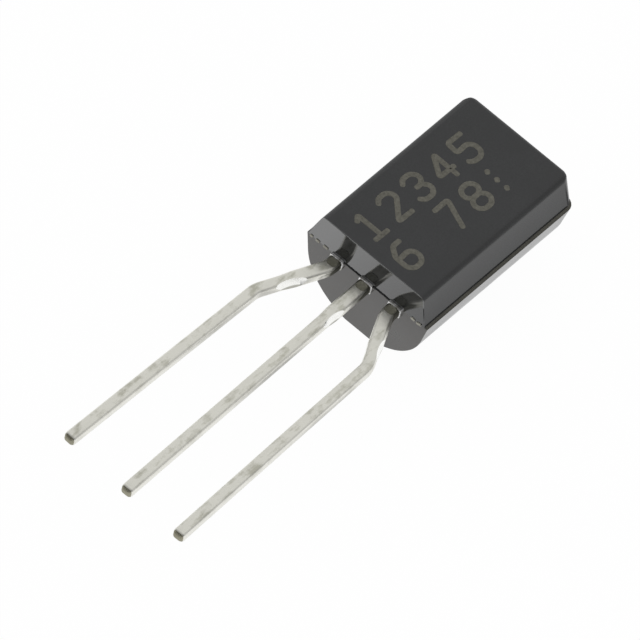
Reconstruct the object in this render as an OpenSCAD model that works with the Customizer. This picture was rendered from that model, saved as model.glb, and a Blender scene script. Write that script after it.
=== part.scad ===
// Moulded three-lead transistor in a long single-ended package, with its outer leads formed outwards.
// X runs across the row of leads, Y along the body away from the leads, Z out of the flat marked face.
// The origin is the middle of the row of leads, where it leaves the body, on the mould's parting plane.
// The front half of the body lies above that plane, the round back half and the leads below it.

/* [Moulded body] */
// Width at the parting plane
body_width = 6; // [5.6:0.1:8]
// Length from the lead end to the far end
body_length = 8.5; // [7.5:0.1:12]
// Thickness from the flat face to the round back
body_thick = 4.7; // [4.4:0.1:6]
// Width of the flat marked face, between its sharp corners
face_width = 5; // [4:0.1:5.5]
// Depth of the front half, from the flat face to the parting plane
front_depth = 1.4; // [1.2:0.1:1.7]
// How far the front half stands back from the rear half at each side of the parting plane, on average
parting_step = 0.06; // [0.05:0.01:0.2]
// Sideways shift of the front half towards the emitter side, as the mould halves never meet quite in line
mould_shift = 0.04; // [0:0.01:0.05]
// How far the round back stays inside the parting outline at each side
back_inset = 0.1; // [0.05:0.05:0.4]
// Width of the flat along the bottom of the round back, which keeps the part from rolling
back_flat = 1.2; // [1:0.1:1.6]
// Draft of the end faces away from the parting plane, in degrees
end_draft = 3; // [1:0.5:8]
// Radius of the upright corners at the parting plane
corner_radius = 0.22; // [0.1:0.02:0.5]
// Radius of the moulded edges along the two sides of the face
side_radius = 0.25; // [0.22:0.01:0.4]
// Radius of the moulded edges at both ends of the face and the back
edge_radius = 0.14; // [0.06:0.02:0.2]

/* [Leads] */
// Distance between neighbouring leads where they leave the body
lead_pitch = 1.45; // [1.3:0.05:1.8]
// Width of a lead
lead_width = 0.5; // [0.4:0.05:0.6]
// Thickness of the stamped strip
lead_thick = 0.45; // [0.3:0.05:0.5]
// Radius of the long edges of a lead
lead_edge = 0.09; // [0.03:0.01:0.14]
// Width of the root of a lead, from the body to the cut that took its tie bar off
root_width = 0.58; // [0.52:0.01:0.64]
// Distance along a lead from the body to the middle of that cut
cut_distance = 2.35; // [2:0.05:2.5]
// Length of the cut along the lead
cut_length = 0.8; // [0.6:0.05:1]
// How deep the cut scoops into each flank of the lead
cut_depth = 0.06; // [0.04:0.01:0.1]
// Lean of the cut, deeper at the top edge of the lead, in degrees
cut_lean = 6; // [0:1:8]

/* [Forming] */
// Length of an outer lead before its first bend
form_start = 0.5; // [0.35:0.05:0.8]
// Middle radius of the bends
bend_radius = 1; // [0.5:0.05:1.2]
// Sideways reach of the emitter lead at its second bend
emitter_reach = 1.17; // [0.6:0.01:1.5]
// Distance from the body to the emitter lead's second bend
emitter_knee = 3.3; // [3:0.05:4]
// Outward slant of the emitter lead's straight end, in degrees
emitter_splay = 1.3; // [0:0.1:5]
// Distance from the body to the emitter lead's tip
emitter_tip = 13.45; // [8:0.05:20]
// Sideways slant of the collector lead, in degrees
collector_splay = 0.6; // [0.1:0.1:2]
// Distance from the body to the collector lead's tip
collector_tip = 13.6; // [8:0.05:20]
// Sideways reach of the base lead at its second bend
base_reach = 1.08; // [0.6:0.01:1.5]
// Distance from the body to the base lead's second bend
base_knee = 2.8; // [2.7:0.05:4]
// Outward slant of the base lead's straight end, in degrees
base_splay = 1.2; // [0:0.1:5]
// Distance from the body to the base lead's tip
base_tip = 13.65; // [8:0.05:20]

/* [Inside the body] */
// Width of the die pad
pad_width = 2; // [1.6:0.1:2.4]
// Length of the die pad
pad_length = 3.4; // [2.8:0.1:4]
// Distance from the lead end to the die pad
pad_start = 2.3; // [2:0.1:2.8]
// Diameter of the hole that locks the far end of the pad in the epoxy
lock_hole = 0.8; // [0.4:0.1:1]
// Width of the bond flags of the outer leads
flag_width = 0.7; // [0.5:0.05:0.8]
// Clearance between the die pad and the bond flags
flag_clearance = 0.35; // [0.3:0.05:0.5]
// Distance from the lead end to the foot of the bond flags
flag_start = 0.9; // [0.7:0.1:1.1]
// Height of the foot that joins a flag to its lead
flag_foot = 0.7; // [0.5:0.1:0.8]
// Distance from the near edge of the die pad to the die
die_setback = 0.4; // [0.2:0.05:1]
// Side of the square silicon die
die_side = 0.9; // [0.6:0.05:1.1]
// Thickness of the die
die_thick = 0.22; // [0.15:0.01:0.4]
// Thickness of the solder under the die
solder_thick = 0.04; // [0.02:0.01:0.08]
// How far the solder shows round the die
solder_margin = 0.06; // [0.02:0.01:0.15]
// Diameter of the bond wires
wire_diameter = 0.05; // [0.04:0.005:0.1]
// Diameter of the flattened ball at each end of a bond wire
ball_diameter = 0.14; // [0.12:0.01:0.25]
// Height of the flattened balls
ball_height = 0.04; // [0.02:0.01:0.08]
// Radius of the loop of a bond wire
loop_radius = 0.95; // [0.9:0.05:1.3]

/* [Hidden] */
// Thickness of the parting land on each side of the parting plane
land = 0.02;
// Steps in a bend of a lead, in each of its rounded edges and in its rounded tip
bend_steps = 10;
edge_steps = 3;
tip_steps = 3;
// Turn of the rounding at the tip of a lead, which leaves the middle of its end flat
tip_round = 75;
back_depth = body_thick - front_depth;
back_radius = body_width / 2 - back_inset;
flank_draft = atan(((body_width - face_width) / 2 - parting_step) / front_depth);
die_y = pad_start + die_setback + die_side / 2;
die_top = solder_thick + die_thick;
flag_x = pad_width / 2 + flag_clearance;
flag_end = die_y + die_side / 2;
bond_offset = die_side / 4;
$fn = 32;

// ---- Moulded body ----

// Outline of a mould half at the parting plane, as a thin slab that starts at height z.
module parting_land(z, step) {
    for (x = [-1, 1], y = [0, 1])
        translate([
            x * (body_width / 2 - step - corner_radius),
            y == 0 ? corner_radius : body_length - corner_radius,
            z
        ])
            cylinder(r = corner_radius, h = land);
}

// Distance from a sharp edge to the centre of its rounding, between the face and a drafted side.
function edge_inset(radius, draft) = radius * tan((90 - draft) / 2);

// Corner of the flat face, round along the sides and tighter round the end.
module face_corner() {
    rotate([90, 0, 0])
        rotate_extrude()
            intersection() {
                translate([side_radius - edge_radius, 0]) circle(edge_radius, $fn = 16);
                translate([0, -edge_radius]) square([side_radius, 2 * edge_radius]);
            }
}

module front_half() {
    inset_x = edge_inset(side_radius, flank_draft);
    inset_y = front_depth * tan(end_draft) + edge_inset(edge_radius, end_draft);
    translate([-mould_shift, 0, 0])
        hull() {
            parting_land(0, parting_step);
            for (x = [-1, 1], y = [inset_y, body_length - inset_y])
                translate([x * (face_width / 2 - inset_x), y, front_depth - side_radius])
                    face_corner();
        }
}

// Round rim of the back's end face, two arcs with the flat between them. It leans with the draft and ends
// at the back's depth.
module back_rim() {
    rim_radius = back_radius - edge_radius;
    flat_turn = asin(back_flat / 2 / rim_radius);
    rim_depth = (back_depth - edge_radius * (1 - sin(end_draft))) / cos(end_draft);
    rotate([end_draft, 0, 0])
        translate([0, edge_radius, rim_radius * cos(flat_turn) - rim_depth])
            rotate([-90, 0, 0])
                for (side = [0, 1])
                    mirror([side, 0, 0])
                        rotate_extrude(angle = 90 - flat_turn, $fn = 4 * $fn)
                            translate([rim_radius, 0]) circle(edge_radius, $fn = 16);
}

module back_half() {
    hull() {
        parting_land(-land, 0);
        back_rim();
        translate([0, body_length, 0]) mirror([0, 1, 0]) back_rim();
    }
}

module package_body() {
    color("#3c3d3f")
        difference() {
            union() {
                front_half();
                back_half();
            }
            emitter_lead();
            collector_lead();
            base_lead();
            die_attach();
            silicon_die();
            emitter_bond_wire();
            base_bond_wire();
        }
}

// ---- Stamped and formed leads ----

// A lead is swept along stations [x, y, heading, width, inset]. Heading 0 is -Y, and a positive one leans
// to +X. The inset shrinks the cross-section on all sides.

// Station straight ahead of another.
function ahead(s, distance, width, inset = 0) =
    [s[0] + distance * sin(s[2]), s[1] - distance * cos(s[2]), s[2], width, inset];

// Stations of a bend that starts at a station and ends at a new heading.
function bend(s, heading) = [
    for (i = [0:bend_steps])
        let (a = s[2] + (heading - s[2]) * i / bend_steps, side = sign(heading - s[2]))
            [
                s[0] + side * bend_radius * (cos(s[2]) - cos(a)),
                s[1] + side * bend_radius * (sin(s[2]) - sin(a)),
                a,
                s[3],
                0
            ]
];

function last(list) = list[len(list) - 1];

// Stations on both sides of the cut of the tie bar, where the wide root gives way to the plain lead.
function cut_stations(s, distance) = [
    ahead(s, distance - cut_length / 4, root_width),
    ahead(s, distance + cut_length / 4, lead_width)
];

// Stations of the rounded tip of a lead, which ends at a distance ahead of a station.
function tip_stations(s, distance) = [
    for (i = [0:tip_steps])
        let (a = tip_round * i / tip_steps)
            ahead(s, distance - lead_edge * (1 - sin(a)), lead_width, lead_edge * (1 - cos(a)))
];

// Cross-section of a lead with rounded edges, across its width and down from the parting plane.
function lead_section(width, inset) = [
    for (corner = [0:3], i = [0:edge_steps])
        let (a = 90 * corner + 90 * i / edge_steps, edge = lead_edge - inset)
            [
                (corner == 0 || corner == 3 ? 1 : -1) * (width / 2 - lead_edge) + edge * cos(a),
                (corner < 2 ? -lead_edge : lead_edge - lead_thick) + edge * sin(a)
            ]
];

module sweep(stations) {
    count = 4 * (edge_steps + 1);
    rings = len(stations);
    polyhedron(
        points = [
            for (s = stations, p = lead_section(s[3], s[4]))
                [s[0] + p[0] * cos(s[2]), s[1] + p[0] * sin(s[2]), p[1]]
        ],
        faces = concat(
            [[for (i = [0:count - 1]) i]],
            [
                for (k = [0:rings - 2], i = [0:count - 1])
                    let (j = (i + 1) % count)
                        [k * count + i, (k + 1) * count + i, (k + 1) * count + j, k * count + j]
            ],
            [[for (i = [count - 1:-1:0]) (rings - 1) * count + i]]
        )
    );
}

// Scoops that the cut of the tie bar leaves in both flanks of a lead at a station.
module tie_bar_cut(s) {
    scoop_radius = (cut_length * cut_length / 4 + cut_depth * cut_depth) / 2 / cut_depth;
    translate([s[0], s[1], -lead_thick / 2])
        rotate([0, 0, s[2]])
            for (side = [-1, 1])
                translate([side * (lead_width / 2 - cut_depth + scoop_radius), 0, 0])
                    rotate([0, side * cut_lean, 0])
                        cylinder(r = scoop_radius, h = 2 * lead_thick, center = true);
}

// Plan shape that lies inside the body, as thick as the leads.
module stamped() {
    translate([0, 0, -lead_thick]) linear_extrude(lead_thick) children();
}

// Outer lead on the +X side: bond flag, straight root, slanted stretch with the cut, straight end.
module outer_lead(reach, knee, splay, tip) {
    slant = atan(reach / (knee - form_start));
    first_tangent = bend_radius * tan(slant / 2);
    second_tangent = bend_radius * tan((slant - splay) / 2);
    slant_run = (knee - form_start) / cos(slant) - first_tangent - second_tangent;
    cut_run = cut_distance - form_start + first_tangent - bend_radius * slant * PI / 180;
    start = [lead_pitch, flag_start, 0, root_width, 0];
    first_bend = bend(ahead(start, flag_start + form_start - first_tangent, root_width), slant);
    second_bend = bend(ahead(last(first_bend), slant_run, lead_width), splay);
    stamped() {
        translate([lead_pitch - root_width / 2, flag_start])
            square([flag_x + flag_width - lead_pitch + root_width / 2, flag_foot]);
        translate([flag_x, flag_start]) square([flag_width, flag_end - flag_start]);
    }
    difference() {
        sweep(concat(
            [start],
            first_bend,
            cut_stations(last(first_bend), cut_run),
            second_bend,
            tip_stations(last(second_bend), (tip - knee) / cos(splay) - second_tangent)
        ));
        tie_bar_cut(ahead(last(first_bend), cut_run, lead_width));
    }
}

module emitter_lead() {
    color("#c9c8bf")
        mirror([1, 0, 0]) outer_lead(emitter_reach, emitter_knee, emitter_splay, emitter_tip);
}

module base_lead() {
    color("#c9c8bf") outer_lead(base_reach, base_knee, base_splay, base_tip);
}

module collector_lead() {
    tangent = bend_radius * tan(collector_splay / 2);
    cut_run = cut_distance - form_start;
    start = [0, pad_start, 0, root_width, 0];
    only_bend = bend(ahead(start, pad_start + form_start - tangent, root_width), collector_splay);
    color("#c9c8bf") {
        difference() {
            sweep(concat(
                [start],
                only_bend,
                cut_stations(last(only_bend), cut_run),
                tip_stations(
                    last(only_bend),
                    (collector_tip - form_start) / cos(collector_splay) - tangent
                )
            ));
            tie_bar_cut(ahead(last(only_bend), cut_run, lead_width));
        }
        difference() {
            stamped()
                translate([-pad_width / 2, pad_start]) square([pad_width, pad_length]);
            translate([0, pad_start + pad_length - lock_hole, -lead_thick / 2])
                cylinder(d = lock_hole, h = 2 * lead_thick, center = true);
        }
    }
}

// ---- Die and bond wires ----

module die_attach() {
    side = die_side + 2 * solder_margin;
    color("#a9a9a4")
        translate([-side / 2, die_y - side / 2, 0]) cube([side, side, solder_thick]);
}

module silicon_die() {
    color("#54566a")
        translate([-die_side / 2, die_y - die_side / 2, solder_thick])
            cube([die_side, die_side, die_thick]);
}

// Wire from the die to the bond flag on the +X side: a round loop between two flattened balls.
module bond_wire() {
    from_x = bond_offset;
    to_x = flag_x + flag_width / 2;
    from_z = die_top + ball_height;
    chord = norm([to_x - from_x, from_z - ball_height]);
    half = asin(chord / 2 / loop_radius);
    lean = atan((from_z - ball_height) / (to_x - from_x));
    translate([from_x, 0, die_top]) cylinder(d = ball_diameter, h = ball_height);
    translate([to_x, 0, 0]) cylinder(d = ball_diameter, h = ball_height);
    translate([(from_x + to_x) / 2, 0, (from_z + ball_height) / 2])
        rotate([90, lean, 0])
            translate([0, -loop_radius * cos(half), 0])
                rotate([0, 0, 90 - half])
                    rotate_extrude(angle = 2 * half)
                        translate([loop_radius, 0]) circle(d = wire_diameter);
}

module emitter_bond_wire() {
    color("#d9b45a") translate([0, die_y - bond_offset, 0]) mirror([1, 0, 0]) bond_wire();
}

module base_bond_wire() {
    color("#d9b45a") translate([0, die_y + bond_offset, 0]) bond_wire();
}

package_body();
emitter_lead();
collector_lead();
base_lead();
silicon_die();
die_attach();
emitter_bond_wire();
base_bond_wire();
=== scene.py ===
import math

import bpy
from mathutils import Matrix, Vector


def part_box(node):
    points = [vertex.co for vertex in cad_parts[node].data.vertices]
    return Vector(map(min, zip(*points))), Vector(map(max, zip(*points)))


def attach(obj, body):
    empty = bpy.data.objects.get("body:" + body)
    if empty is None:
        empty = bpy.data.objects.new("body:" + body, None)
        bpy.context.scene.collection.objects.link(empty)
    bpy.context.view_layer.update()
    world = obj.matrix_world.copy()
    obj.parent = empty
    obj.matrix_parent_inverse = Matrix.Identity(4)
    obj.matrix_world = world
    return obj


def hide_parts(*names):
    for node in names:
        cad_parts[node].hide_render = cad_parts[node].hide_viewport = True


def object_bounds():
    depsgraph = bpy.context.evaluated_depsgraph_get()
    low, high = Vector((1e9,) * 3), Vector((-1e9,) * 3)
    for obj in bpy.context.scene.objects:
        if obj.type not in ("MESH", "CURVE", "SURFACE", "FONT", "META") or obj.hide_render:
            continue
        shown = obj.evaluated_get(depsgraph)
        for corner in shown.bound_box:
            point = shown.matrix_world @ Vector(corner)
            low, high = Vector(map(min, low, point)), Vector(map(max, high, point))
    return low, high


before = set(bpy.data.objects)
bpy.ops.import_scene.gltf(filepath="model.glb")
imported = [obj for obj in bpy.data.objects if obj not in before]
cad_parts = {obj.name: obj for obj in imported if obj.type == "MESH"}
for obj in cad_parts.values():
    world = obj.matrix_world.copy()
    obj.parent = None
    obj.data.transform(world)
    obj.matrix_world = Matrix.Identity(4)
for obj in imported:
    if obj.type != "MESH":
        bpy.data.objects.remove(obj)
cad_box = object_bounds()

# ---- Camera ----
# A long lens over the right shoulder of the lead end, rolled a little clockwise.
# It looks steeply down on the flat face, with the leads running to the lower left.
mm = 0.001
camera_azimuth = math.radians(29.39)
camera_elevation = math.radians(53.85)
camera_roll = math.radians(14.94)
camera_distance = 645.8 * mm
camera_pivot = Vector((0, 3 * mm, -1.3 * mm))
aim_point = Vector((-1.168 * mm, -0.616 * mm, -3.184 * mm))
focal_length = 978.8
sensor_width = 36
level_right = Vector((math.cos(camera_azimuth), math.sin(camera_azimuth), 0))
level_ahead = Vector((-math.sin(camera_azimuth), math.cos(camera_azimuth), 0))
back_to_camera = Vector((0, 0, math.sin(camera_elevation))) - level_ahead * math.cos(camera_elevation)
turned_up = Vector((0, 0, math.cos(camera_elevation))) + level_ahead * math.sin(camera_elevation)
camera_spot = camera_pivot + back_to_camera * camera_distance
backwards = (camera_spot - aim_point).normalized()
rolled_right = level_right * math.cos(camera_roll) + turned_up * math.sin(camera_roll)
rolled_right = (rolled_right - backwards * rolled_right.dot(backwards)).normalized()
rolled_up = backwards.cross(rolled_right)

lens = bpy.data.cameras.new("long_lens")
lens.lens = focal_length
lens.sensor_width = sensor_width
lens.clip_start = 0.01
lens.clip_end = 10
camera = bpy.data.objects.new("camera", lens)
bpy.context.scene.collection.objects.link(camera)
camera.matrix_world = Matrix.Translation(camera_spot) @ Matrix(
    (rolled_right, rolled_up, backwards)
).transposed().to_4x4()
bpy.context.scene.camera = camera
bpy.context.scene.view_settings.view_transform = "Standard"

# ---- Floor and studio ----
# A wide white sheet that the part lies on, in an evenly lit white tent.
# The tent is a little dimmer above and in front, where its opening is.
floor_size = 2.0
# The sheet lies a hair under the part, so that the two never share a plane.
floor_gap = 0.01 * mm
shade_brightness = 0.48


def linear_colour(code):
    """Linear RGBA of an sRGB hex colour."""
    parts = [int(code[i:i + 2], 16) / 255 for i in (1, 3, 5)]
    return [c / 12.92 if c <= 0.04045 else ((c + 0.055) / 1.055) ** 2.4 for c in parts] + [1]


def add_node(tree, kind, links=None, **settings):
    """Adds a node, sets its properties or its input values by name, and links its inputs."""
    node = tree.nodes.new(kind)
    for name, value in settings.items():
        if hasattr(node, name):
            setattr(node, name, value)
        else:
            node.inputs[name.replace("_", " ")].default_value = value
    for name, source in (links or {}).items():
        tree.links.new(source, node.inputs[name])
    return node


bpy.ops.object.select_all(action="DESELECT")
bpy.ops.mesh.primitive_plane_add(size=floor_size, location=(0, 0, cad_box[0][2] - floor_gap))
floor = bpy.context.object
floor.name = "floor"
bpy.ops.object.transform_apply(location=True, rotation=True, scale=True)

# White paper: matt where it lights the part, and nearly plain white with a faint shadow where it is seen,
# directly, in a reflection or through something clear.
paper = bpy.data.materials.new("white_paper_sheet")
paper.use_nodes = True
tree = paper.node_tree
tree.nodes.clear()
ray = add_node(tree, "ShaderNodeLightPath")
seen = add_node(tree, "ShaderNodeMath", {0: ray.outputs["Is Camera Ray"], 1: ray.outputs["Is Glossy Ray"]},
                operation="MAXIMUM")
seen = add_node(tree, "ShaderNodeMath", {0: seen.outputs[0], 1: ray.outputs["Is Transmission Ray"]},
                operation="MAXIMUM")
matt = add_node(tree, "ShaderNodeBsdfDiffuse", Color=linear_colour("#F2F2F2"))
where = add_node(tree, "ShaderNodeTexCoord")
split = add_node(tree, "ShaderNodeSeparateXYZ", {0: where.outputs["Object"]})
# In reflections the sheet shows the soft shade that the part throws in front of its lead end. It fades in from
# the left and the front, and out again to the right and towards the body.
shade = None
for axis, low, high, start, end in (
    ("X", -3.7 * mm, 2 * mm, 0.0, 1.0),
    ("X", 2.5 * mm, 6 * mm, 1.0, 0.0),
    ("Y", -6 * mm, -4 * mm, 0.0, 1.0),
    ("Y", -2.3 * mm, -1.6 * mm, 1.0, 0.0),
):
    slope = add_node(tree, "ShaderNodeMapRange", {"Value": split.outputs[axis]}, From_Min=low, From_Max=high,
                     To_Min=start, To_Max=end)
    if shade:
        slope = add_node(tree, "ShaderNodeMath", {0: slope.outputs[0], 1: shade.outputs[0]},
                         operation="MULTIPLY")
    shade = slope
fade = add_node(tree, "ShaderNodeMapRange", {"Value": shade.outputs[0]}, To_Min=1.0, To_Max=shade_brightness)
level = add_node(tree, "ShaderNodeMapRange", {"Value": ray.outputs["Is Camera Ray"], "To Min": fade.outputs[0]},
                 To_Max=1.0)
glow = add_node(tree, "ShaderNodeEmission", {"Strength": level.outputs[0]}, Color=linear_colour("#FFFFFF"))
bright = add_node(tree, "ShaderNodeMixShader", {1: matt.outputs[0], 2: glow.outputs[0]}, Fac=0.97)
sheet = add_node(tree, "ShaderNodeMixShader",
                 {0: seen.outputs[0], 1: matt.outputs[0], 2: bright.outputs[0]})
add_node(tree, "ShaderNodeOutputMaterial", {"Surface": sheet.outputs[0]})
floor.data.materials.append(paper)

# The tent: even white for matt surfaces, and for glossy ones brightest at the horizon, dim above the front.
tent = bpy.data.worlds.new("white_tent")
bpy.context.scene.world = tent
tent.use_nodes = True
tree = tent.node_tree
tree.nodes.clear()
ray = add_node(tree, "ShaderNodeLightPath")
where = add_node(tree, "ShaderNodeTexCoord")
split = add_node(tree, "ShaderNodeSeparateXYZ", {0: where.outputs["Generated"]})
roof = add_node(tree, "ShaderNodeMapRange", {"Value": split.outputs["Y"]}, interpolation_type="SMOOTHSTEP",
                From_Min=-0.6, From_Max=0.45, To_Min=0.1, To_Max=0.82)
right_side = add_node(tree, "ShaderNodeMapRange", {"Value": split.outputs["X"]},
                      interpolation_type="SMOOTHSTEP", From_Min=0.0, From_Max=0.6, To_Min=1.0, To_Max=0.7)
roof = add_node(tree, "ShaderNodeMath", {0: roof.outputs[0], 1: right_side.outputs[0]}, operation="MULTIPLY")
height = add_node(tree, "ShaderNodeMapRange", {"Value": split.outputs["Z"]}, interpolation_type="SMOOTHSTEP",
                  From_Min=0.0, From_Max=0.2, To_Min=0.0, To_Max=1.0)
wall = add_node(tree, "ShaderNodeMapRange", {"Value": height.outputs[0], "To Max": roof.outputs[0]},
                To_Min=1.0)
even = add_node(tree, "ShaderNodeMixRGB", {"Fac": ray.outputs["Is Glossy Ray"], "Color2": wall.outputs[0]},
                Color1=(0.95, 0.95, 0.95, 1))
white = add_node(tree, "ShaderNodeMixRGB", {"Fac": ray.outputs["Is Camera Ray"], "Color1": even.outputs[0]},
                 Color2=(1, 1, 1, 1))
tent_light = add_node(tree, "ShaderNodeBackground", {"Color": white.outputs[0]}, Strength=1.0)
add_node(tree, "ShaderNodeOutputWorld", {"Surface": tent_light.outputs[0]})

# ---- Moulded body ----
# Black filled epoxy, moulded round the lead frame in a two-part mould: a front half with the flat marked face,
# and a round rear half. Both draw back from the parting plane at their ends and are rounded along their edges.
# The front half sits a little to one side, so the rear half stands out beyond it there in a narrow ledge.
body_low, body_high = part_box("package_body")
body_length = body_high.y - body_low.y
body_half_width = body_high.x
front_depth = body_high.z
parting_step = 0.06 * mm
ledge_extra = 0.04 * mm
mould_shift = 0.04 * mm
front_width = 2 * (body_half_width - parting_step) - ledge_extra
front_middle = -mould_shift - ledge_extra / 2
face_half_width = 2.5 * mm
end_draft = math.radians(3)
flank_draft = math.atan((body_half_width - parting_step - face_half_width) / front_depth)
# The front half runs this far down into the rear half, drawn in a little, so that the two join cleanly.
key_depth = 0.2 * mm
key_narrowing = (0.93, 0.97, 1)
# Roundings: of the edges along the face, at the lead end and at the far end, and of the far uprights.
side_edge = 0.3 * mm
near_edge = 0.03 * mm
far_edge = 0.2 * mm
far_upright = 0.4 * mm
back_upright = 0.55 * mm
edge_steps = 6
# The rear half is a round bar with a flat along the bottom and drafted sides up to the parting plane.
back_radius = body_half_width - 0.13 * mm
back_draft = math.radians(10)
back_flat = 1.2 * mm
back_axis_z = body_low.z + math.sqrt(back_radius ** 2 - back_flat ** 2 / 4)
back_facets = 192
# What lies closer than this is in one place, and a face looks along an axis if its normal has this much of it.
same_place = 0.001 * mm
facing = 0.9
# Points this close are welded, and faces this narrow are slivers. The usual values suit far bigger parts.
weld_distance = 1e-8
sliver_width = 1e-7


def pick(piece):
    """Selects one piece and makes it the active one."""
    bpy.ops.object.select_all(action="DESELECT")
    piece.select_set(True)
    bpy.context.view_layer.objects.active = piece


def choose(piece, kind, test):
    """Enters edit mode with only those faces, edges or vertices of a piece selected that pass the test."""
    pick(piece)
    bpy.ops.object.mode_set(mode="EDIT")
    bpy.ops.mesh.select_mode(type=kind)
    bpy.ops.mesh.select_all(action="DESELECT")
    bpy.ops.object.mode_set(mode="OBJECT")
    mesh = piece.data
    for part in {"VERT": mesh.vertices, "EDGE": mesh.edges, "FACE": mesh.polygons}[kind]:
        if kind == "EDGE":
            part.select = test(*[mesh.vertices[v].co for v in part.vertices])
        else:
            part.select = test(part)
    bpy.ops.object.mode_set(mode="EDIT")


def done():
    """Leaves edit mode."""
    bpy.ops.object.mode_set(mode="OBJECT")


def apply_place(piece, name):
    """Names a new piece and puts its place into its mesh."""
    pick(piece)
    bpy.ops.object.transform_apply(location=True, rotation=True, scale=True)
    piece.name = piece.data.name = name
    return piece


def add_block(name, centre, size, turn=(0, 0, 0)):
    """Adds a block of a size, turned about its centre."""
    bpy.ops.object.select_all(action="DESELECT")
    bpy.ops.mesh.primitive_cube_add(size=1, location=centre, rotation=turn, scale=size)
    return apply_place(bpy.context.object, name)


def cut_or_join(piece, other, operation, keep=False):
    """Joins another mesh to a piece or cuts it out of it, and applies that."""
    pick(piece)
    change = piece.modifiers.new("change", "BOOLEAN")
    change.operation = operation
    change.solver = "EXACT"
    change.material_mode = "TRANSFER"
    change.object = other
    bpy.ops.object.modifier_apply(modifier=change.name)
    if not keep:
        bpy.data.objects.remove(other)


def bevel_by_weight(piece, width, weight):
    """Rounds the edges of a piece, each to its own share of a width."""
    mesh = piece.data
    shares = mesh.attributes.new("bevel_weight_edge", "FLOAT", "EDGE")
    for edge in mesh.edges:
        shares.data[edge.index].value = weight(*[mesh.vertices[v].co for v in edge.vertices])
    pick(piece)
    rounding = piece.modifiers.new("rounding", "BEVEL")
    rounding.limit_method = "WEIGHT"
    rounding.width = width
    rounding.segments = edge_steps
    rounding.use_clamp_overlap = False
    bpy.ops.object.modifier_apply(modifier=rounding.name)


# Front half: a block that narrows to the face.
front_half = add_block(
    "front_half", (front_middle, body_length / 2, front_depth / 2), (front_width, body_length, front_depth)
)
choose(front_half, "FACE", lambda f: f.normal.z > facing)
face_length = body_length - 2 * front_depth * math.tan(end_draft)
bpy.ops.transform.resize(
    value=(2 * face_half_width / front_width, face_length / body_length, 1),
    center_override=(front_middle, body_length / 2, front_depth),
)
bpy.ops.transform.translate(value=(ledge_extra / 2, 0, 0))
done()
choose(front_half, "FACE", lambda f: f.normal.z < -facing)
bpy.ops.mesh.extrude_region_move(TRANSFORM_OT_translate={"value": (0, 0, -key_depth)})
bpy.ops.transform.resize(value=key_narrowing, center_override=(0, body_length / 2, 0))
done()


def front_edge_share(a, b):
    """Share of the widest rounding: full on the far uprights, wide along the face, tight at the lead end."""
    middle = (a + b) / 2
    if middle.z < same_place:
        return 0
    if middle.y < mm:
        return near_edge / far_upright
    # An edge runs along the axis of which it spans more than a millimetre.
    if abs(a.z - b.z) > mm:
        return 1
    if abs(a.x - b.x) > mm:
        return far_edge / far_upright
    return side_edge * math.tan(math.pi / 4 - flank_draft / 2) / far_upright


bevel_by_weight(front_half, far_upright, front_edge_share)

# Rear half: a round bar with a flat along the bottom, cut level just below its axis, drawn up to the parting
# plane with the draft that it has there, and cut off at both ends.
bpy.ops.object.select_all(action="DESELECT")
bpy.ops.mesh.primitive_cylinder_add(
    vertices=back_facets,
    radius=back_radius,
    depth=body_length + 2 * mm,
    location=(0, body_length / 2, back_axis_z),
    rotation=(math.pi / 2, 0, 0),
)
body = apply_place(bpy.context.object, "moulded_body")
top_z = back_axis_z - back_radius * math.sin(back_draft)
for level, way in ((top_z, 1), (body_low.z, -1)):
    choose(body, "FACE", lambda f: True)
    bpy.ops.mesh.bisect(
        plane_co=(0, 0, level), plane_no=(0, 0, way), use_fill=True, clear_outer=True, threshold=weld_distance
    )
    done()
choose(body, "FACE", lambda f: f.normal.z > facing and f.center.z > top_z - same_place)
bpy.ops.mesh.extrude_region_move(TRANSFORM_OT_translate={"value": (0, 0, -top_z)})
bpy.ops.transform.resize(
    value=(body_half_width / (back_radius * math.cos(back_draft)), 1, 1),
    center_override=(0, body_length / 2, 0),
)
done()
for end_y, way in ((0, -1), (body_length, 1)):
    choose(body, "FACE", lambda f: True)
    bpy.ops.mesh.bisect(
        plane_co=(0, end_y, 0),
        plane_no=(0, way * math.cos(end_draft), -math.sin(end_draft)),
        use_fill=True,
        clear_outer=True,
        threshold=weld_distance,
    )
    done()

# Round the end rims, the far edge's rounding widens to that of the uprights over this height.
rim_blend = 0.8 * mm


def rim_share(a, b):
    """Share of the widest rounding for the end rims: tight at the lead end, wide at the far end's uprights."""
    def at_end(p):
        return min(p.y, body_length - p.y) < -p.z * math.tan(end_draft) + same_place

    if not (at_end(a) and at_end(b)) or abs(a.y - b.y) > mm or min(a.z, b.z) > -same_place:
        return 0
    if a.y < mm:
        return near_edge / back_upright
    depth = -(a.z + b.z) / 2
    blend = min(1, max(0, (depth + top_z) / rim_blend))
    return 1 + (far_edge / back_upright - 1) * blend


bevel_by_weight(body, back_upright, rim_share)
cut_or_join(body, front_half, "UNION")

# Resin that bled into the parting plane at the lead end: thin ragged fins between the leads, and torn crumbs
# beside them, each given by its place and its length in millimetres.
fin_middle = 0.72 * mm
fin_half_width = 0.47 * mm
fin_high = 0.03 * mm
fin_out = 0.045 * mm
fin_root = 0.2 * mm
fin_raggedness = 0.014 * mm
for fin_x, seed in ((-fin_middle, 5), (fin_middle, 8)):
    fin = add_block(
        "flash_fin", (fin_x, fin_root / 2 - fin_out / 2, -fin_high / 2),
        (2 * fin_half_width, fin_root + fin_out, fin_high),
    )
    choose(fin, "EDGE", lambda a, b: abs(a.x - b.x) > fin_half_width)
    bpy.ops.mesh.subdivide(number_cuts=18)
    bpy.ops.mesh.select_all(action="DESELECT")
    done()
    choose(fin, "VERT", lambda v: v.co.y < 0)
    bpy.ops.transform.vertex_random(offset=fin_raggedness, seed=seed)
    done()
    cut_or_join(body, fin, "UNION")
crumb_deep = 0.11 * mm
crumb_high = 0.075 * mm
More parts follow.
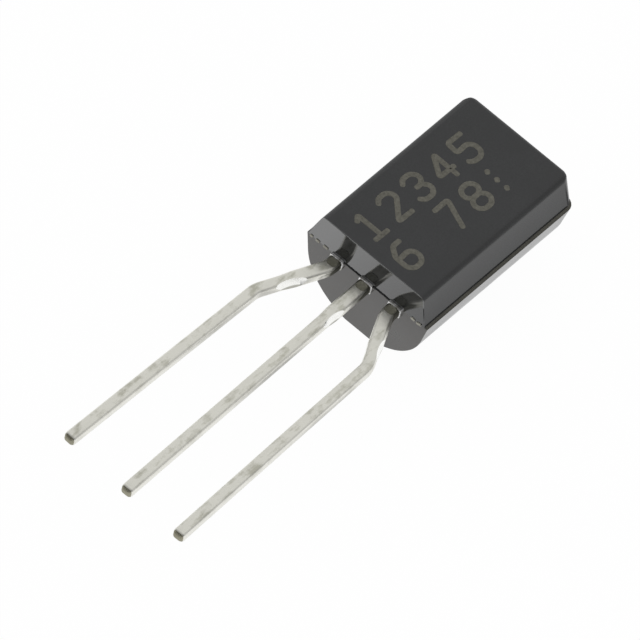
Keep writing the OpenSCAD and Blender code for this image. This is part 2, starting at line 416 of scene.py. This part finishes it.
crumb_z = 0.005 * mm
crumb_edge = 0.03 * mm
for crumb_x, crumb_long in ((-2.77, 0.15), (-2.46, 0.2), (-2.06, 0.24), (2.3, 0.2), (2.6, 0.25)):
    crumb_tilt = 0.2 * math.sin(9 * crumb_x)
    crumb = add_block(
        "flash_crumb", (crumb_x * mm, 0, crumb_z), (crumb_long * mm, crumb_deep, crumb_high), (0, crumb_tilt, 0)
    )
    choose(crumb, "FACE", lambda f: True)
    bpy.ops.mesh.bevel(offset=crumb_edge, segments=3, affect="EDGES")
    done()
    cut_or_join(body, crumb, "UNION")


def epoxy(name, dark, light, dull, grain, index=1.55):
    """Filled epoxy off a spark-eroded mould: cloudy between two close colours, with a fine even grain."""
    material = bpy.data.materials.new(name)
    material.use_nodes = True
    tree = material.node_tree
    tree.nodes.clear()
    place = add_node(tree, "ShaderNodeTexCoord")
    scaled = add_node(tree, "ShaderNodeMapping", {"Vector": place.outputs["Object"]},
                      Scale=(1 / mm, 1 / mm, 1 / mm))
    # The real grain is about 0.02 mm and is drawn at 0.06 mm, so that it shows. The clouds are 1.4 mm across.
    pits = add_node(tree, "ShaderNodeTexNoise", {"Vector": scaled.outputs[0]}, Scale=16, Detail=3,
                    Roughness=0.6)
    cloud = add_node(tree, "ShaderNodeTexNoise", {"Vector": scaled.outputs[0]}, Scale=0.7, Detail=4,
                     Roughness=0.55)
    shade = add_node(tree, "ShaderNodeMath", {0: pits.outputs[0], 1: cloud.outputs[0]}, operation="MULTIPLY")
    colour = add_node(tree, "ShaderNodeValToRGB", {"Fac": shade.outputs[0]})
    colour.color_ramp.elements[0].position = 0.15
    colour.color_ramp.elements[0].color = linear_colour(dark)
    colour.color_ramp.elements[1].position = 0.38
    colour.color_ramp.elements[1].color = linear_colour(light)
    gloss = add_node(tree, "ShaderNodeMapRange", {"Value": cloud.outputs[0]}, From_Min=0.3, From_Max=0.7,
                     To_Min=dull - 0.04, To_Max=dull + 0.04)
    relief = add_node(tree, "ShaderNodeBump", {"Height": pits.outputs[0]}, Strength=grain,
                      Distance=0.006 * mm)
    surface = add_node(
        tree, "ShaderNodeBsdfPrincipled",
        {"Base Color": colour.outputs[0], "Roughness": gloss.outputs[0], "Normal": relief.outputs[0]},
        IOR=index,
    )
    add_node(tree, "ShaderNodeOutputMaterial", {"Surface": surface.outputs[0]})
    return material


body.data.materials.clear()
# The face came off a spark-eroded part of the mould, which left it a matt charcoal black.
body.data.materials.append(epoxy("matt_black_epoxy", "#1C1D1E", "#262728", 0.5, 0.5))
# The end of the front half drew off a polished part of the mould, so it mirrors the leads and the floor.
body.data.materials.append(epoxy("polished_black_epoxy", "#1D1E1F", "#242526", 0.08, 0.03, 2.5))
# The end of the rear half is smoother than the face, but not a mirror, and a little browner.
body.data.materials.append(epoxy("satin_black_epoxy", "#26231E", "#302C26", 0.3, 0.2, 1.8))
# The sides and the back slid out of a smooth part of the mould and have a quiet shine.
body.data.materials.append(epoxy("smooth_black_epoxy", "#1D1E1F", "#252627", 0.15, 0.1, 1.58))
# The parting ledge is raw flash that was broken off: rough, and a paler olive.
body.data.materials.append(epoxy("rough_flash_epoxy", "#3C3B34", "#504E45", 0.7, 0.8))
# Torn crumbs of flash are paler still; much of that paleness is painted highlight, the glint on these raised
# burrs.
body.data.materials.append(epoxy("flash_crumb_painted_highlight", "#8E8C82", "#A8A69B", 0.8, 0.8))
matt_slot, polished_slot, satin_slot, smooth_slot, flash_slot, crumb_slot = range(6)
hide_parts("package_body")
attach(body, "root")

# ---- Leads ----
# Three leads of stamped copper-alloy strip, dipped in tin after moulding.
# Each is wide at its root, up to where its tie bar was cut off, and plain from there to its clipped tip.
# The outer two were formed outwards, between two bends in the plane of the strip.
lead_pitch = 1.45 * mm
lead_width = 0.5 * mm
lead_thick = 0.45 * mm
lead_edge = 0.13 * mm
root_width = 0.58 * mm
bend_radius = 1.0 * mm
bend_steps = 12
run_steps = 8
# Where the forming starts outside the body, and where the outer and the middle leads start inside it.
form_start = 0.5 * mm
flag_start = 0.9 * mm
pad_start = 2.3 * mm
# The cut where the tie bar was: its place and length, the round of the punch and how far it leant.
cut_distance = 2.2 * mm
cut_length = 0.96 * mm
scoop_radius = 1.68 * mm
scoop_facets = 160
cut_lean = math.radians(22)
# The tip is drawn in on a small radius, through most of a quarter turn.
tip_radius = 0.2 * mm
tip_turn = math.radians(80)
tip_steps = 6
clipped_length = 0.12 * mm
# The bead of tin round the root, and the shallow dark patch on top behind it.
bead_y = -0.04 * mm
bead_length = 0.14 * mm
bead_extra_width = 0.06 * mm
bead_extra_thickness = 0.07 * mm
bead_roughness = 0.012 * mm
patch_y = -0.31 * mm
patch_z = 0.012 * mm
patch_length = 0.38 * mm
patch_high = 0.08 * mm
patch_margins = 0.16 * mm
patch_corner = 0.13 * mm
patch_foot = 0.035 * mm
# Stamped plates inside the body, as place in x and y, width and length. An outer lead ends in a neck and a bond
# flag, and the middle one in the die pad, with a hole that locks it in the epoxy.
flag_neck = (1.605 * mm, 1.25 * mm, 0.89 * mm, 0.7 * mm)
bond_flag = (1.7 * mm, 2.25 * mm, 0.7 * mm, 2.7 * mm)
die_pad = (0, 4.0 * mm, 2.0 * mm, 3.4 * mm)
lock_hole_radius = 0.4 * mm
lock_hole_facets = 48
lock_hole_y = 4.9 * mm
lead_crease = math.radians(35)


def metal(name, dark, light, dull, wave, stain_and_painted_light=False, torn=False):
    """A soft metal, cloudy between two colours, streaked and wavy. Its root may carry bled resin with painted
    shade, and its edges painted highlights; its foot may be torn.
    """
    material = bpy.data.materials.new(name)
    material.use_nodes = True
    tree = material.node_tree
    tree.nodes.clear()
    place = add_node(tree, "ShaderNodeTexCoord")
    scaled = add_node(tree, "ShaderNodeMapping", {"Vector": place.outputs["Object"]},
                      Scale=(1 / mm, 1 / mm, 1 / mm))
    # Clouds 0.6 mm across, and streaks 1 mm long and a quarter as wide.
    drawn = add_node(tree, "ShaderNodeMapping", {"Vector": place.outputs["Object"]},
                     Scale=(4 / mm, 1.0 / mm, 4 / mm))
    flow = add_node(tree, "ShaderNodeTexNoise", {"Vector": scaled.outputs[0]}, Scale=1.6, Detail=5,
                    Roughness=0.6)
    streak = add_node(tree, "ShaderNodeTexNoise", {"Vector": drawn.outputs[0]}, Scale=1.0, Detail=4,
                      Roughness=0.6)
    blend = add_node(tree, "ShaderNodeMath", {0: flow.outputs[0], 1: streak.outputs[0]}, operation="ADD")
    colour = add_node(tree, "ShaderNodeValToRGB", {"Fac": blend.outputs[0]})
    colour.color_ramp.elements[0].position = 0.75
    colour.color_ramp.elements[0].color = linear_colour(dark)
    colour.color_ramp.elements[1].position = 1.0
    colour.color_ramp.elements[1].color = linear_colour(light)
    gloss = add_node(tree, "ShaderNodeMapRange", {"Value": streak.outputs[0]}, From_Min=0.3, From_Max=0.7,
                     To_Min=dull - 0.07, To_Max=dull + 0.07)
    relief = add_node(tree, "ShaderNodeBump", {"Height": blend.outputs[0]}, Strength=wave,
                      Distance=0.02 * mm)
    split = add_node(tree, "ShaderNodeSeparateXYZ", {0: scaled.outputs[0]})
    if torn:
        # The shear left the face torn and dull from about 0.3 mm down.
        tear = add_node(tree, "ShaderNodeMapRange", {"Value": split.outputs["Z"]}, From_Min=-0.31,
                        From_Max=-0.27, To_Min=0.9, To_Max=0.0)
        colour = add_node(tree, "ShaderNodeMixRGB", {"Fac": tear.outputs[0], "Color1": colour.outputs[0]},
                          Color2=linear_colour("#A9A89F"))
    if stain_and_painted_light:
        # Painted highlight: the rounded edges and the flanks are mixed towards near-white, the further their
        # normals lean from straight up or down.
        facing_way = add_node(tree, "ShaderNodeSeparateXYZ", {0: place.outputs["Normal"]})
        level = add_node(tree, "ShaderNodeMath", {0: facing_way.outputs["Z"]}, operation="ABSOLUTE")
        painted_rim_highlight = add_node(tree, "ShaderNodeMapRange", {"Value": level.outputs[0]}, From_Min=0.7, From_Max=0.99,
                       To_Min=0.42, To_Max=0.0)
        colour = add_node(tree, "ShaderNodeMixRGB", {"Fac": painted_rim_highlight.outputs[0], "Color1": colour.outputs[0]},
                          Color2=linear_colour("#F4F3EE"))
        # Resin that bled over the root leaves it dull olive, with a ragged end half a millimetre out along the
        # top.
        # On the lower flanks and underneath, the dark olive runs on to nearly a millimetre: that extra reach is
        # painted shade.
        lower_flank_painted_shade = add_node(tree, "ShaderNodeMapRange", {"Value": split.outputs["Z"]}, From_Min=-0.14,
                         From_Max=-0.04, To_Min=0.55, To_Max=0.0)
        edge = add_node(tree, "ShaderNodeMath", {0: split.outputs["Y"], 1: lower_flank_painted_shade.outputs[0]}, operation="ADD")
        edge = add_node(tree, "ShaderNodeMath", {0: edge.outputs[0], 1: flow.outputs[0]}, operation="ADD")
        stain_and_painted_shade = add_node(tree, "ShaderNodeMapRange", {"Value": edge.outputs[0]},
                         interpolation_type="SMOOTHSTEP", From_Min=-0.05, From_Max=0.35, To_Min=0.0, To_Max=0.9)
        colour = add_node(tree, "ShaderNodeMixRGB", {"Fac": stain_and_painted_shade.outputs[0], "Color1": colour.outputs[0]},
                          Color2=linear_colour("#57564A"))
        gloss = add_node(tree, "ShaderNodeMath", {0: stain_and_painted_shade.outputs[0], 2: gloss.outputs[0]},
                         operation="MULTIPLY_ADD")
        gloss.inputs[1].default_value = 0.3
    surface = add_node(
        tree, "ShaderNodeBsdfPrincipled",
        {"Base Color": colour.outputs[0], "Roughness": gloss.outputs[0], "Normal": relief.outputs[0]},
        Metallic=1.0,
    )
    add_node(tree, "ShaderNodeOutputMaterial", {"Surface": surface.outputs[0]})
    return material


# Hot-dipped tin: soft grey with a faint green-yellow cast, cloudy and streaked along the lead.
# Its rounded edges and flanks carry painted highlights, and its lower flanks by the root carry painted shade.
dipped_tin = metal("hot_dipped_tin", "#BAB9AC", "#E2E1D8", 0.34, 0.5, stain_and_painted_light=True)
# Where the tie bar was sheared off, the fresh metal is bright.
sheared_metal = metal("sheared_bright_metal", "#F0F0EC", "#FBFBF8", 0.2, 0.2, torn=True)
# The clipped tips are duller and browner, where the strip shows through the smeared tin.
clipped_metal = metal("clipped_lead_tip", "#86836F", "#ABA896", 0.6, 0.8)
# The tin ends in a rough bright bead against the epoxy.
beaded_tin = metal("rough_tin_bead", "#8A8878", "#FFFFFF", 0.5, 0.8)
# Behind the bead the top dips in a patch of dark olive: partly a film of bled resin on strip bare of tin, partly
# painted reflection of the black body in the dip.
resin_film_and_painted_reflection = epoxy("olive_film_painted_reflection", "#4E4D42", "#6E6D60", 0.6, 0.8)


def start_lead(name, x, y):
    """Starts a lead as a short bar of rounded section, and selects the end face that it grows from."""
    stub = 0.1 * mm
    lead = add_block(name, (x, y + stub / 2, -lead_thick / 2), (root_width, stub, lead_thick))
    lead.data.materials.append(dipped_tin)
    choose(lead, "EDGE", lambda a, b: abs(a.y - b.y) > stub / 2)
    bpy.ops.mesh.bevel(offset=lead_edge, segments=edge_steps, affect="EDGES")
    done()
    choose(lead, "FACE", lambda f: f.normal.y < -facing)
    return lead


def run_on(spot, length, turn=0.0, widen=1.0):
    """Draws the chosen end face on from a spot [x, y, heading], then turns and widens it."""
    x, y, heading = spot
    way = heading + turn / 2
    move = (length * math.sin(way), -length * math.cos(way), 0)
    bpy.ops.mesh.extrude_region_move(TRANSFORM_OT_translate={"value": move})
    centre = (x + move[0], y + move[1], -lead_thick / 2)
    if turn:
        bpy.ops.transform.rotate(value=-turn, orient_axis="Z", center_override=centre)
    if widen != 1.0:
        bpy.ops.transform.rotate(value=heading + turn, orient_axis="Z", center_override=centre)
        bpy.ops.transform.resize(value=(widen, 1, 1), center_override=centre)
        bpy.ops.transform.rotate(value=-(heading + turn), orient_axis="Z", center_override=centre)
    return [centre[0], centre[1], heading + turn]


def bend_on(spot, turn):
    """Draws the chosen end face round a bend."""
    for _ in range(bend_steps):
        step = turn / bend_steps
        spot = run_on(spot, 2 * bend_radius * math.sin(abs(step) / 2), step)
    return spot


def round_tip(spot):
    """Draws the chosen end face in over the last fifth of a millimetre, until only a small flat is left."""
    for k in range(tip_steps):
        turns = [tip_turn * i / tip_steps for i in (k, k + 1)]
        drop = [tip_radius * (1 - math.cos(turn)) for turn in turns]
        spot = run_on(spot, tip_radius * (math.sin(turns[1]) - math.sin(turns[0])))
        bpy.ops.transform.resize(
            value=((lead_width / 2 - drop[1]) / (lead_width / 2 - drop[0]), 1,
                   (lead_thick / 2 - drop[1]) / (lead_thick / 2 - drop[0])),
            center_override=(spot[0], spot[1], -lead_thick / 2),
        )


def draw_strip(name, side, reach, knee, splay, tip):
    """Draws the strip of a lead from its inner end to its tip, and tells where its tie bar was."""
    lead_x = side * lead_pitch
    inner_start = flag_start if side else pad_start
    lead = start_lead(name, lead_x, inner_start)
    slant = math.atan(reach / (knee - form_start)) if side else splay
    way = side or 1
    first_tangent = bend_radius * math.tan(slant / 2)
    spot = run_on([lead_x, inner_start, 0.0], inner_start + form_start - first_tangent)
    spot = bend_on(spot, way * slant)
    cut_run = cut_distance - form_start
    if side:
        cut_run = cut_run + first_tangent - bend_radius * slant
    spot = run_on(spot, cut_run - cut_length / 4)
    cut_spot = [
        spot[0] + cut_length / 4 * math.sin(spot[2]),
        spot[1] - cut_length / 4 * math.cos(spot[2]),
        spot[2],
    ]
    spot = run_on(spot, cut_length / 2, widen=lead_width / root_width)
    if side:
        second_tangent = bend_radius * math.tan((slant - splay) / 2)
        slant_run = (knee - form_start) / math.cos(slant) - first_tangent - second_tangent
        spot = run_on(spot, slant_run - cut_run - cut_length / 4)
        spot = bend_on(spot, -way * (slant - splay))
    left = (tip + spot[1]) / math.cos(spot[2]) - tip_radius
    for _ in range(run_steps):
        spot = run_on(spot, left / run_steps)
    round_tip(spot)
    done()
    return lead, cut_spot


def cut_tie_bar(lead, spot, depth):
    """Scoops the two flanks of a lead where its tie bar was sheared off, both at the slant of the shear."""
    for side in (-1, 1):
        out = side * (lead_width / 2 - depth + scoop_radius / math.cos(cut_lean))
        bpy.ops.object.select_all(action="DESELECT")
        bpy.ops.mesh.primitive_cylinder_add(
            vertices=scoop_facets,
            radius=scoop_radius,
            depth=2 * (scoop_radius * math.tan(cut_lean) + lead_thick),
            location=(spot[0] + out * math.cos(spot[2]), spot[1] + out * math.sin(spot[2]), -lead_thick / 2),
            rotation=(0, -cut_lean, spot[2]),
        )
        punch = apply_place(bpy.context.object, "punch")
        punch.data.materials.append(sheared_metal)
        cut_or_join(lead, punch, "DIFFERENCE")


def add_bead(lead, x, seed):
    """Joins the rough bead of tin to the root of a lead."""
    bead = add_block(
        "bead", (x, bead_y, -lead_thick / 2),
        (root_width + bead_extra_width, bead_length, lead_thick + bead_extra_thickness),
    )
    choose(bead, "EDGE", lambda a, b: True)
    bpy.ops.mesh.subdivide(number_cuts=3)
    bpy.ops.transform.vertex_random(offset=bead_roughness, seed=seed)
    done()
    bead.data.materials.append(beaded_tin)
    bead.modifiers.new("soft", "SUBSURF").levels = 1
    bpy.ops.object.modifier_apply(modifier="soft")
    cut_or_join(lead, bead, "UNION")


def sink_dark_patch(lead, x):
    """Sinks the dark patch into the top of a lead, with round corners and a soft foot. Its dark olive is partly
    painted reflection.
    """
    patch = add_block(
        "bare_patch", (x, patch_y, patch_z), (root_width - patch_margins, patch_length, patch_high)
    )
    choose(patch, "EDGE", lambda a, b: abs(a.z - b.z) > patch_high / 2)
    bpy.ops.mesh.bevel(offset=patch_corner, segments=edge_steps, affect="EDGES")
    done()
    choose(patch, "FACE", lambda f: f.normal.z < -facing)
    bpy.ops.mesh.bevel(offset=patch_foot, segments=3, affect="EDGES")
    done()
    patch.data.materials.append(resin_film_and_painted_reflection)
    cut_or_join(lead, patch, "DIFFERENCE")


def shade_evenly(piece, crease):
    """Shades the active piece smooth up to a crease, with its flats kept flat."""
    bpy.ops.object.shade_smooth_by_angle(angle=crease)
    even = piece.modifiers.new("even", "WEIGHTED_NORMAL")
    even.keep_sharp = True
    bpy.ops.object.modifier_apply(modifier=even.name)


def draw_lead(node, side, reach, knee, splay, tip, cut_depth, bead_seed):
    """Makes a whole lead. Side -1 or 1 forms it outwards to that side, and 0 leaves it all but straight.

    Reach is how far out it is formed, knee where its second bend is, and splay how far it leans after that.
    """
    lead, cut_spot = draw_strip(node.replace("_lead", "_leg"), side, reach, knee, splay, tip)
    tip_y = min(v.co.y for v in lead.data.vertices)
    lead.data.materials.append(sheared_metal)
    lead.data.materials.append(clipped_metal)
    clipped_slot = 2
    cut_tie_bar(lead, cut_spot, cut_depth)
    add_bead(lead, side * lead_pitch, bead_seed)
    sink_dark_patch(lead, side * lead_pitch)
    for plate_x, plate_y, wide, long in (flag_neck, bond_flag) if side else (die_pad,):
        plate = add_block("plate", (side * plate_x, plate_y, -lead_thick / 2), (wide, long, lead_thick))
        cut_or_join(lead, plate, "UNION")
    if not side:
        bpy.ops.object.select_all(action="DESELECT")
        bpy.ops.mesh.primitive_cylinder_add(
            vertices=lock_hole_facets, radius=lock_hole_radius, depth=mm, location=(0, lock_hole_y, 0)
        )
        cut_or_join(lead, apply_place(bpy.context.object, "lock_hole"), "DIFFERENCE")
    choose(lead, "FACE", lambda f: True)
    bpy.ops.mesh.dissolve_degenerate(threshold=sliver_width)
    done()
    for face in lead.data.polygons:
        if face.center.y < tip_y + clipped_length:
            face.material_index = clipped_slot
    shade_evenly(lead, lead_crease)
    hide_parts(node)
    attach(lead, "root")
    return lead


# The shear stood a little to one side, so it cut deepest into the left lead and only grazed the right one.
emitter_leg = draw_lead("emitter_lead", side=-1, reach=1.17 * mm, knee=3.3 * mm, splay=math.radians(1.3),
                        tip=13.45 * mm, cut_depth=0.07 * mm, bead_seed=6)
collector_leg = draw_lead("collector_lead", side=0, reach=0, knee=0, splay=math.radians(0.6),
                          tip=13.6 * mm, cut_depth=0.035 * mm, bead_seed=4)
base_leg = draw_lead("base_lead", side=1, reach=1.08 * mm, knee=2.8 * mm, splay=math.radians(1.2),
                     tip=13.65 * mm, cut_depth=0.01 * mm, bead_seed=8)

# ---- Body round the lead frame ----
# The epoxy flowed round the leads, the die and the wires, so the body is hollow only where these lie.
# Each face of it then takes the finish of the part of the mould that it came off.
body_crease = math.radians(25)
flat_angle = math.radians(0.2)
# Faces this near the parting plane are its ledge and its flash. Among them, those this near the lead end and
# this far to the side are crumbs.
near_parting = 0.05 * mm
crumb_reach = 0.1 * mm
crumbs_from = 1.9 * mm
for lead in (emitter_leg, collector_leg, base_leg):
    cut_or_join(body, lead, "DIFFERENCE", keep=True)
for node in ("die_attach", "silicon_die", "emitter_bond_wire", "base_bond_wire"):
    pick(bpy.data.objects[node])
    bpy.ops.object.duplicate()
    pocket = bpy.context.object
    choose(pocket, "VERT", lambda v: True)
    bpy.ops.mesh.remove_doubles(threshold=weld_distance)
    done()
    cut_or_join(body, pocket, "DIFFERENCE")
choose(body, "FACE", lambda f: True)
bpy.ops.mesh.dissolve_degenerate(threshold=sliver_width)
bpy.ops.mesh.select_all(action="SELECT")
bpy.ops.mesh.dissolve_limited(angle_limit=flat_angle)
done()
for face in body.data.polygons:
    spot, normal = face.center, face.normal
    if spot.y < crumb_reach and abs(spot.z) < near_parting and abs(spot.x) > crumbs_from:
        face.material_index = crumb_slot
    elif normal.z > facing and abs(spot.z) < near_parting:
        # The ledge, and the tops of the fins outside the lead end.
        face.material_index = flash_slot if spot.y > 0 else matt_slot
    elif normal.y < -0.35 or normal.y > 0.985:
        # The lead end with its tight edges, and the far end without its round ones.
        face.material_index = polished_slot if spot.z > 0 else satin_slot
    elif normal.z > 0.5 and spot.z > front_depth / 2:
        # The marked face, with the rounding along it.
        face.material_index = matt_slot
    else:
        face.material_index = smooth_slot
shade_evenly(body, body_crease)

# ---- Die and bond wires ----
# Inside the body: a silicon die soldered to the pad of the middle lead, and a gold wire from the die to the flag
# of each outer lead. They are the exact solids, each with its own finish.

# A lapped wafer is a glossy blue-grey.
silicon = epoxy("lapped_silicon", "#3F434B", "#565C66", 0.12, 0.1, 3.9)
# Soft solder is a dull, slightly warm grey.
solder = metal("soft_solder", "#8C8B86", "#AAA9A2", 0.4, 0.5)
# Drawn gold is a bright warm yellow.
gold = metal("drawn_gold_wire", "#D6A042", "#EFC468", 0.18, 0.1)
for node, finish in (
    ("silicon_die", silicon), ("die_attach", solder), ("emitter_bond_wire", gold), ("base_bond_wire", gold)
):
    inner = bpy.data.objects[node]
    inner.data.materials.clear()
    inner.data.materials.append(finish)

# ---- Marking ----
# Plain generic numbers in two rows along the face, the second one broken and ended by three dots.
# A laser burnt them into the epoxy in strokes of one width. They stand a few microns proud, so that they show.
mark_height = 1.45 * mm
mark_proud = 0.004 * mm
stroke_width = 0.23 * mm
numeral_pitch = 1.32 * mm
row_start = 0.7 * mm
# Each numeral is drawn in strokes on a grid four steps wide and six high.
grid_high = (mark_height - stroke_width) / 6
grid_wide = 0.19 * mm
numeral_strokes = {
    "1": [[(0.7, 4.9), (2, 6), (2, 0)], [(0.2, 0), (3.8, 0)]],
    "2": [[(0, 5), (1, 6), (3, 6), (4, 5), (4, 4), (0, 0), (4, 0)]],
    "3": [[(0, 5), (1, 6), (3, 6), (4, 5), (4, 4), (3, 3), (1.6, 3)],
          [(3, 3), (4, 2), (4, 1), (3, 0), (1, 0), (0, 1)]],
    "4": [[(3.1, 0), (3.1, 6), (0, 1.8), (4.2, 1.8)]],
    "5": [[(4, 6), (0.2, 6), (0, 3.4), (3, 3.6), (4, 2.6), (4, 1), (3, 0), (1, 0), (0, 0.8)]],
    "6": [[(3.6, 6), (1.6, 6), (0, 4), (0, 1), (1, 0), (3, 0), (4, 1), (4, 2.4), (3, 3.4), (0.3, 3.2)]],
    "7": [[(0, 6), (4, 6), (1.4, 0)]],
    "8": [[(1, 3.1), (0.1, 4), (0.1, 5), (1, 6), (3, 6), (3.9, 5), (3.9, 4), (3, 3.1), (1, 3.1),
           (0, 2.1), (0, 1), (1, 0), (3, 0), (4, 1), (4, 2.1), (3, 3.1)]],
    # Three dots, one above the other.
    ":": [[(0.8, up - 0.25), (1.2, up + 0.25)] for up in (0.4, 2.8, 5.2)],
}
# A stroke narrows beyond its end, as millimetres inwards of that end and share of the full width.
stroke_end = ((-0.06, 0.3), (-0.04, 0.7), (0, 0.95))
# It rounds a corner over this much of both sides, but less than half of a short one.
corner_reach = 0.13 * mm
corner_steps = 6

# Laser-burnt epoxy: a matt, faintly mottled brown-grey, paler than the face. The mottling is 0.1 mm across.
laser_mark = bpy.data.materials.new("laser_burnt_epoxy")
laser_mark.use_nodes = True
tree = laser_mark.node_tree
tree.nodes.clear()
place = add_node(tree, "ShaderNodeTexCoord")
scaled = add_node(tree, "ShaderNodeMapping", {"Vector": place.outputs["Object"]},
                  Scale=(1 / mm, 1 / mm, 1 / mm))
burn = add_node(tree, "ShaderNodeTexNoise", {"Vector": scaled.outputs[0]}, Scale=9, Detail=4, Roughness=0.65)
colour = add_node(tree, "ShaderNodeValToRGB", {"Fac": burn.outputs[0]})
colour.color_ramp.elements[0].position = 0.3
colour.color_ramp.elements[0].color = linear_colour("#4B4A42")
colour.color_ramp.elements[1].position = 0.7
colour.color_ramp.elements[1].color = linear_colour("#65635A")
relief = add_node(tree, "ShaderNodeBump", {"Height": burn.outputs[0]}, Strength=0.4, Distance=0.006 * mm)
surface = add_node(tree, "ShaderNodeBsdfPrincipled",
                   {"Base Color": colour.outputs[0], "Normal": relief.outputs[0]}, Roughness=0.8, IOR=1.5)
add_node(tree, "ShaderNodeOutputMaterial", {"Surface": surface.outputs[0]})

strokes = bpy.data.curves.new("mark_strokes", "CURVE")
strokes.dimensions = "3D"
strokes.bevel_depth = stroke_width / 2
strokes.bevel_resolution = 3
strokes.use_fill_caps = True
# Each row: its numerals, where across the face their feet stand, and how much it leans.
for words, foot_x, row_lean in (("12345", -0.42 * mm, 0.026), ("6 78:", 1.44 * mm, 0)):
    for place_in_row, numeral in enumerate(words):
        for stroke in numeral_strokes.get(numeral, []):
            spots = []
            for across, up in stroke:
                along = row_start + place_in_row * numeral_pitch + across * grid_wide
                upright = foot_x - stroke_width / 2 - up * grid_high + row_lean * along
                spots.append(Vector((upright, along, 0)))
            points = []
            for i, spot in enumerate(spots):
                if i in (0, len(spots) - 1):
                    way = (spots[1 if i == 0 else i - 1] - spot).normalized()
                    end = [(spot + way * inwards * mm, share) for inwards, share in stroke_end]
                    points += end if i == 0 else end[::-1]
                    continue
                before, after = spots[i - 1] - spot, spots[i + 1] - spot
                reach = min(corner_reach, before.length / 2.2, after.length / 2.2)
                first, last = spot + before.normalized() * reach, spot + after.normalized() * reach
                for k in range(corner_steps + 1):
                    t = k / corner_steps
                    points.append((first * (1 - t) ** 2 + spot * 2 * t * (1 - t) + last * t ** 2, 1.0))
            line = strokes.splines.new("POLY")
            line.points.add(len(points) - 1)
            for point, (spot, share) in zip(line.points, points):
                point.co = (*spot, 1)
                point.radius = share
marking = bpy.data.objects.new("laser_marking", strokes)
bpy.context.scene.collection.objects.link(marking)
pick(marking)
bpy.ops.object.convert(target="MESH")
marking = bpy.context.object
choose(marking, "VERT", lambda v: True)
bpy.ops.mesh.remove_doubles(threshold=weld_distance)
bpy.ops.transform.resize(value=(1, 1, 2 * mark_proud / stroke_width), center_override=(0, 0, 0))
bpy.ops.transform.translate(value=(0, 0, front_depth))
done()
marking.data.materials.append(laser_mark)
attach(marking, "root")
